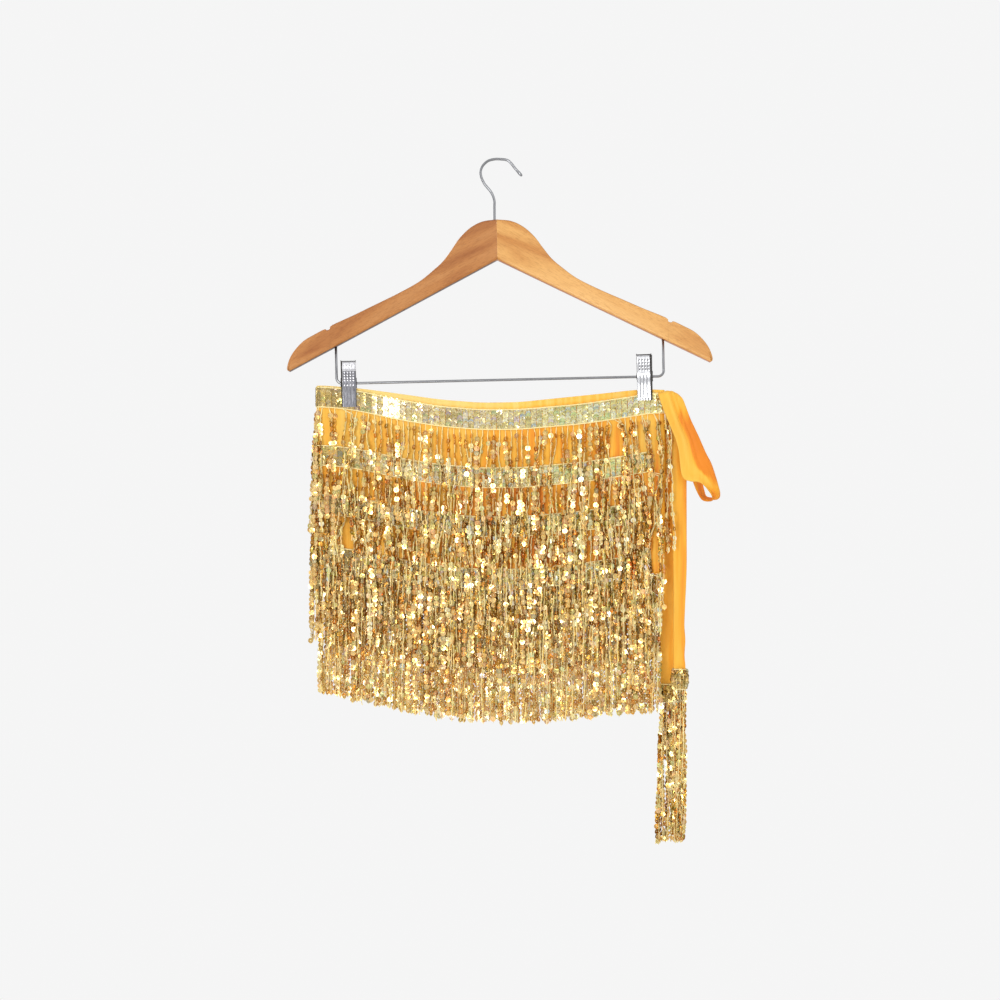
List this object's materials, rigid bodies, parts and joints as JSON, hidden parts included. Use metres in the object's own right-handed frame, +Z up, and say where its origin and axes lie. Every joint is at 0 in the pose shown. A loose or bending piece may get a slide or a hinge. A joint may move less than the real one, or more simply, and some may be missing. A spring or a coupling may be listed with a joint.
{
  "type": "belly dance hip scarf on a wooden clip hanger",
  "caption": "Orange chiffon hip scarf with rows of gold sequin fringe and tasselled ties, folded double and clipped to a wooden trouser hanger.",
  "frame": {"origin": "the point on the inner side of the hook's wire that rests on a nail or rail", "axes": "+X to the viewer's right, towards the tied end of the scarf, +Y away from the viewer, +Z up; the scarf's front face and the hanger's swept wings look along -Y"},
  "size_m": [0.45, 0.0478, 0.7254],
  "materials": {
    "lacquered_wood": "satin lacquer",
    "polished_steel_wire": "polished",
    "chromed_sheet_steel": "polished",
    "spring_steel": "dark",
    "orange_chiffon": "soft sheen",
    "gold_sequin_trim": "holographic gold"
  },
  "bodies": {
    "root": {"wing_left": "lacquered_wood", "wing_right": "lacquered_wood", "hook": "polished_steel_wire", "bar": "polished_steel_wire", "clip_left_front": "chromed_sheet_steel", "clip_left_back": "chromed_sheet_steel", "clip_left_spring": "spring_steel", "clip_right_front": "chromed_sheet_steel", "clip_right_back": "chromed_sheet_steel", "clip_right_spring": "spring_steel", "base_panel": "orange_chiffon", "trim_1": "gold_sequin_trim", "trim_2": "gold_sequin_trim", "trim_3": "gold_sequin_trim", "trim_4": "gold_sequin_trim", "tie_knot": "orange_chiffon", "tie_loop": "orange_chiffon", "tie_tail_front": "orange_chiffon", "tie_tail_back": "orange_chiffon", "tassel_front": "gold_sequin_trim", "tassel_back": "gold_sequin_trim"}
  },
  "joints": []
}
